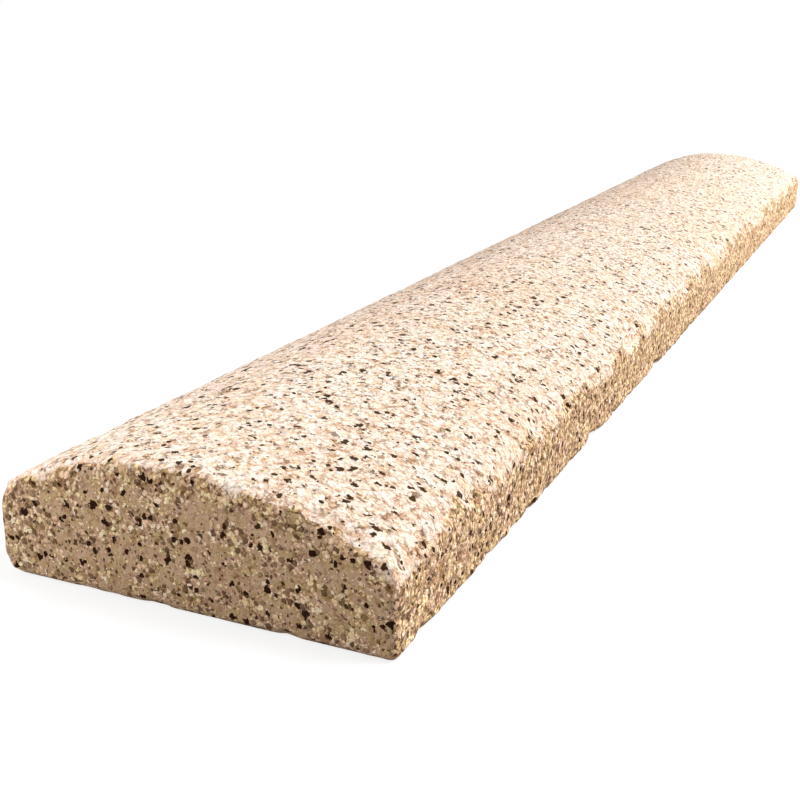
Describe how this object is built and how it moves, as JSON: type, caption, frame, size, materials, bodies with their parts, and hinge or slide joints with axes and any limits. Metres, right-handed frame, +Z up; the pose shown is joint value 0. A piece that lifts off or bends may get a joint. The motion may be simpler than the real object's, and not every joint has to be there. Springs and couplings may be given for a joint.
{
  "type": "granite kerb",
  "caption": "Long flat granite kerb stone with a domed top, low upright sides, a flat bed to lie on and softly rounded arrises.",
  "frame": {"origin": "middle of the bed, the flat face that the stone lies on", "axes": "+X along the kerb, +Y across it towards the side that the crown leans to, +Z up out of the bed towards the domed top"},
  "size_m": [2, 0.3, 0.102],
  "materials": {
    "granite": "split and bush-hammered granite, rough, matt, cream and tan with dark chips"
  },
  "bodies": {
    "root": {"kerb_stone": "granite"}
  },
  "joints": []
}
